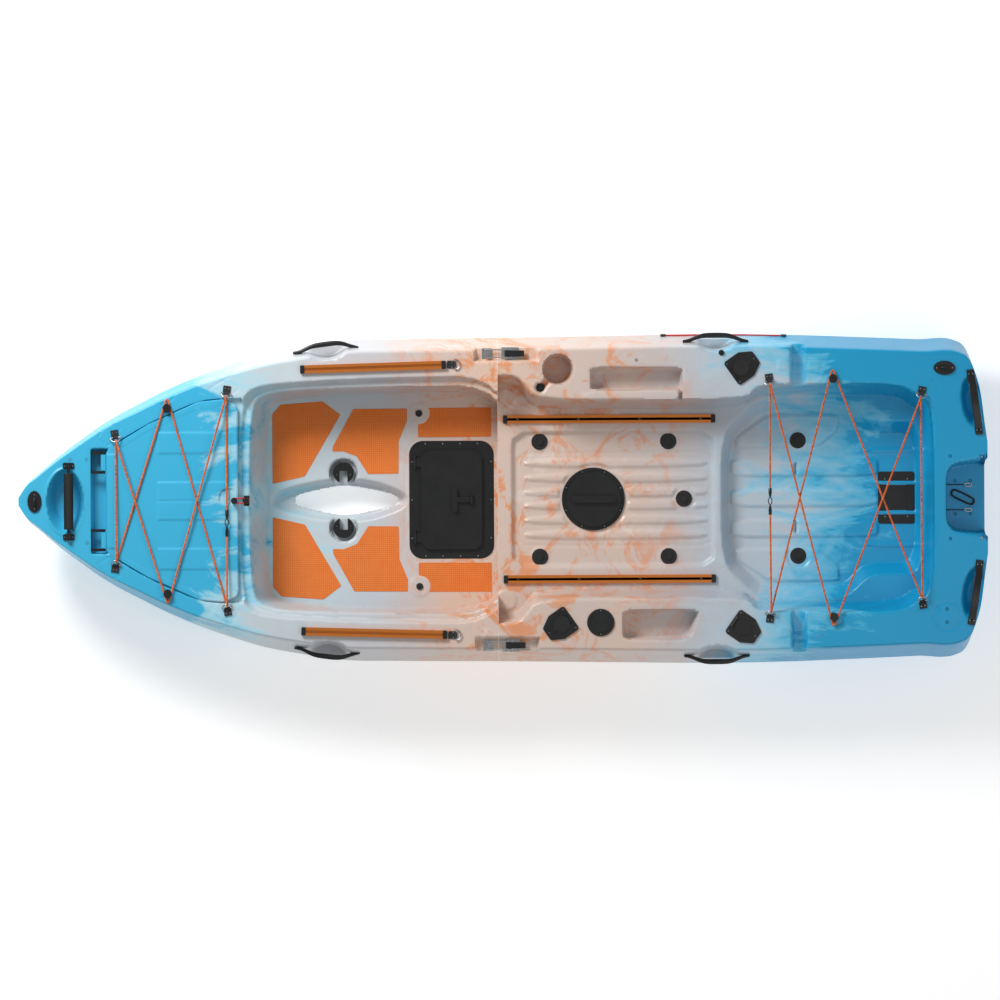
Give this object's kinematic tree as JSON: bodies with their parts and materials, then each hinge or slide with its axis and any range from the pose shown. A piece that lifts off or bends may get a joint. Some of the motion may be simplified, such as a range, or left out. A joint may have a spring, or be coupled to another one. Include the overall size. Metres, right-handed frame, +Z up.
{
  "type": "kayak",
  "caption": "Two-section sit-on-top pedal fishing kayak with hinged hatches, draw latches, gear rails, rod holders, carry handles and bungee lashings.",
  "frame": {"origin": "on the ground under the middle of the hull", "axes": "bow towards -X, stern towards +X, starboard towards +Y, +Z up"},
  "size_m": [3.048, 1.0483, 0.3759],
  "materials": {
    "bow_shell": "satin moulded polyethylene, light blue marbled to white",
    "stern_shell": "satin moulded polyethylene, white and orange marbled to blue",
    "lid_shell": "satin",
    "plastic_black": "fine texture",
    "rubber_black": "matt",
    "steel": "brushed",
    "rail_orange": "orange anodised",
    "foam_orange": "woven foam sheet",
    "bungee": "braided, flecked",
    "elastic_red": "satin",
    "webbing": "woven webbing",
    "cord_black": "braided"
  },
  "bodies": {
    "hull": {"bow_handle_grip": "rubber_black", "bow_handle_mounts": "plastic_black", "bow_hatch_gasket": "rubber_black", "bow_hatch_hinges": "plastic_black", "bow_hull": "bow_shell", "bow_lashing_bungee": "bungee", "bow_lashing_guides": "plastic_black", "bow_lashing_hook": "plastic_black", "bow_lashing_rings": "steel", "bow_lashing_tabs": "webbing", "bow_latch_catch": "plastic_black", "bow_latch_loop": "elastic_red", "bow_screws": "steel", "cup_drain_plug": "plastic_black", "deck_buttons": "plastic_black", "deck_pads": "foam_orange", "deck_plate_ring": "plastic_black", "drive_saddles": "plastic_black", "floor_hatch_frame": "plastic_black", "floor_hatch_gasket": "rubber_black", "front_rails": "rail_orange", "latch_mounts": "steel", "pad_eyes": "plastic_black", "paddle_keeper_cord": "elastic_red", "rail_dring_tabs": "webbing", "rail_end_caps": "plastic_black", "rod_holders": "plastic_black", "round_hatch_frame": "plastic_black", "rudder_cord_hank": "cord_black", "rudder_line_ends": "steel", "rudder_lines": "cord_black", "scupper_plugs": "rubber_black", "seat_rails": "rail_orange", "side_handles": "plastic_black", "stern_handles": "plastic_black", "stern_hull": "stern_shell", "stern_lashing_bungee": "bungee", "stern_lashing_guides": "plastic_black", "stern_lashing_hook": "plastic_black", "stern_lashing_rings": "steel", "stern_lashing_tabs": "webbing", "stern_screws": "steel", "tank_cover_plate": "plastic_black", "threaded_inserts": "steel"},
    "bow_lid": {"bow_hatch_lid": "lid_shell", "bow_latch_knob": "plastic_black"},
    "floor_hatch_lid": {"floor_hatch_lid": "plastic_black"},
    "floor_hatch_latch": {"floor_hatch_latch": "plastic_black"},
    "round_hatch_seal": {"round_hatch_seal": "rubber_black"},
    "round_hatch_lid": {"round_hatch_lid": "plastic_black"},
    "deck_plate_cap": {"deck_plate_cap": "plastic_black"},
    "rod_cap_front_port": {"rod_cap_front_port": "rubber_black"},
    "rod_cap_rear_starboard": {"rod_cap_rear_starboard": "rubber_black"},
    "rod_cap_rear_port": {"rod_cap_rear_port": "rubber_black"},
    "latch_lever_starboard": {"latch_lever_starboard": "plastic_black"},
    "latch_lever_port": {"latch_lever_port": "plastic_black"},
    "latch_loop_starboard": {"latch_loop_starboard": "steel"},
    "latch_loop_port": {"latch_loop_port": "steel"},
    "rail_dring_starboard": {"rail_dring_starboard": "steel"},
    "rail_dring_port": {"rail_dring_port": "steel"}
  },
  "joints": [
    {"name": "bow_lid_hinge", "type": "hinge", "parent": "hull", "child": "bow_lid", "pos_m": [-1.26004, 0, 0.33364], "axis": [0, -1, 0], "range_deg": [0, 100], "deforming": ["bow_lashing_bungee", "bow_latch_loop", "bow_lashing_hook"]},
    {"name": "floor_hatch_hinge", "type": "hinge", "parent": "hull", "child": "floor_hatch_lid", "pos_m": [-0.284, 0, 0.107], "axis": [0, -1, 0], "range_deg": [0, 110]},
    {"name": "floor_hatch_latch_pivot", "type": "hinge", "parent": "floor_hatch_lid", "child": "floor_hatch_latch", "pos_m": [-0.1035, 0, 0.1183], "axis": [0, 1, 0], "range_deg": [0, 80]},
    {"name": "round_hatch_lift", "type": "slide", "parent": "hull", "child": "round_hatch_seal", "axis": [0, 0, 1], "range_m": [0, 0.15]},
    {"name": "round_hatch_twist", "type": "hinge", "parent": "round_hatch_seal", "child": "round_hatch_lid", "pos_m": [0.284, 0, 0.153], "axis": [0, 0, 1], "range_deg": [0, 90]},
    {"name": "deck_plate_twist", "type": "hinge", "parent": "hull", "child": "deck_plate_cap", "pos_m": [0.303, -0.389, 0.3], "axis": [0, 0, 1], "range_deg": [0, 270]},
    {"name": "rod_cap_front_port_hinge", "type": "hinge", "parent": "hull", "child": "rod_cap_front_port", "pos_m": [0.20539, -0.37522, 0.309], "axis": [-0.5736, 0.8192, 0], "range_deg": [0, 100]},
    {"name": "rod_cap_rear_starboard_hinge", "type": "hinge", "parent": "hull", "child": "rod_cap_rear_starboard", "pos_m": [0.72361, 0.39422, 0.309], "axis": [0.5736, -0.8192, 0], "range_deg": [0, 100]},
    {"name": "rod_cap_rear_port_hinge", "type": "hinge", "parent": "hull", "child": "rod_cap_rear_port", "pos_m": [0.72361, -0.38822, 0.309], "axis": [-0.5736, -0.8192, 0], "range_deg": [0, 100]},
    {"name": "latch_lever_starboard_pivot", "type": "hinge", "parent": "hull", "child": "latch_lever_starboard", "pos_m": [0.01, 0.46, 0.283], "axis": [0, -1, 0], "range_deg": [0, 110]},
    {"name": "latch_loop_starboard_pivot", "type": "hinge", "parent": "latch_lever_starboard", "child": "latch_loop_starboard", "pos_m": [0.024, 0.46, 0.2885], "axis": [0, -1, 0], "range_deg": [-110, 0]},
    {"name": "latch_lever_port_pivot", "type": "hinge", "parent": "hull", "child": "latch_lever_port", "pos_m": [0.01, -0.46, 0.283], "axis": [0, -1, 0], "range_deg": [0, 110]},
    {"name": "latch_loop_port_pivot", "type": "hinge", "parent": "latch_lever_port", "child": "latch_loop_port", "pos_m": [0.024, -0.46, 0.2885], "axis": [0, -1, 0], "range_deg": [-110, 0]},
    {"name": "rail_dring_starboard_swing", "type": "hinge", "parent": "hull", "child": "rail_dring_starboard", "pos_m": [-0.153, 0.426, 0.3055], "axis": [0, -1, 0], "range_deg": [0, 120]},
    {"name": "rail_dring_port_swing", "type": "hinge", "parent": "hull", "child": "rail_dring_port", "pos_m": [-0.153, -0.426, 0.3055], "axis": [0, -1, 0], "range_deg": [0, 120]}
  ],
  "couplings": [
    {"joint": "latch_loop_starboard_pivot", "follows": "latch_lever_starboard_pivot", "ratio": -1},
    {"joint": "latch_loop_port_pivot", "follows": "latch_lever_port_pivot", "ratio": -1}
  ]
}
